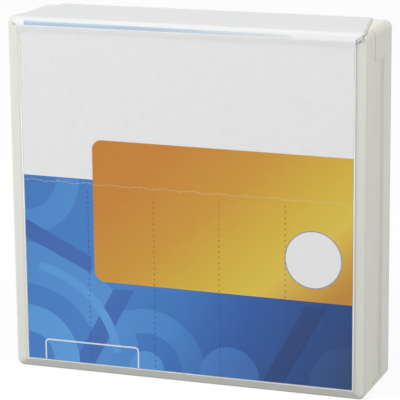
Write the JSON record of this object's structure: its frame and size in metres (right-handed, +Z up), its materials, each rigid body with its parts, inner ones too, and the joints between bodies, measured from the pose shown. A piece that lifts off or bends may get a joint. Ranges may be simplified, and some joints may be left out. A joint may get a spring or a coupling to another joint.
{
  "type": "tape cartridge storage case with insert card and tape cartridge",
  "caption": "Book-style translucent case with a printed card under clear film, hinged at both edges of its spine, holding a single-reel data tape cartridge.",
  "frame": {"origin": "centre of the footprint, on the surface that the closed case stands on", "axes": "+Z up towards the spine, +X to the right seen from the front, the front card faces -Y"},
  "size_m": [0.118, 0.0308, 0.1155],
  "materials": {
    "case_plastic": "moulded polypropylene, satin, slightly translucent",
    "insert_card": "printed card",
    "clear_film": "clear polypropylene film",
    "cartridge_plastic": "moulded, fine texture",
    "light_plastic": "moulded acetal",
    "steel": "bright",
    "tape": "wound tape edge",
    "leader_film": "stiff film",
    "label_paper": "plain, uncoated"
  },
  "bodies": {
    "tray": {"case_tray": "case_plastic", "card_back": "insert_card", "film_back": "clear_film", "cartridge_base": "cartridge_plastic", "cartridge_cover": "cartridge_plastic", "shell_screws": "steel", "cartridge_label": "label_paper", "cartridge_door": "cartridge_plastic", "door_pin": "steel", "door_spring": "steel", "tape_leader": "leader_film", "brake_springs": "steel"},
    "spine": {"case_spine": "case_plastic", "hinge_web_rear": "case_plastic", "hinge_web_front": "case_plastic", "card_spine": "insert_card", "film_spine": "clear_film"},
    "lid": {"case_lid": "case_plastic", "card_front": "insert_card", "film_front": "clear_film"},
    "reel": {"reel_hub": "light_plastic", "reel_flange": "light_plastic", "tape_pack": "tape", "thrust_button": "light_plastic"},
    "brake_right": {"brake_lever_right": "light_plastic"},
    "brake_left": {"brake_lever_left": "light_plastic"},
    "lock": {"door_lock": "light_plastic"},
    "slider": {"write_protect_slider": "light_plastic"}
  },
  "joints": [
    {"name": "spine_hinge", "type": "hinge", "parent": "tray", "child": "spine", "pos_m": [0, 0.01495, 0.11505], "axis": [-1, 0, 0], "range_deg": [0, 90]},
    {"name": "lid_hinge", "type": "hinge", "parent": "spine", "child": "lid", "pos_m": [0, -0.01495, 0.1124], "axis": [-1, 0, 0], "range_deg": [0, 90]},
    {"name": "reel_spin", "type": "hinge", "parent": "tray", "child": "reel", "pos_m": [0, 0, 0.0548], "axis": [0, 1, 0], "continuous": true},
    {"name": "brake_right_pivot", "type": "hinge", "parent": "tray", "child": "brake_right", "pos_m": [0.0451, 0.0065, 0.0132], "axis": [0, 1, 0], "range_deg": [-4, 4], "stiffness_Nm_per_rad": 0.004},
    {"name": "brake_left_pivot", "type": "hinge", "parent": "tray", "child": "brake_left", "pos_m": [-0.0451, 0.0065, 0.0132], "axis": [0, -1, 0], "range_deg": [-4, 4], "stiffness_Nm_per_rad": 0.004},
    {"name": "door_lock_pivot", "type": "hinge", "parent": "tray", "child": "lock", "pos_m": [0.0114, 0, 0.1032], "axis": [0, -1, 0], "range_deg": [0, 8], "stiffness_Nm_per_rad": 0.002},
    {"name": "write_protect_slide", "type": "slide", "parent": "tray", "child": "slider", "axis": [1, 0, 0], "range_m": [0, 0.005]}
  ]
}
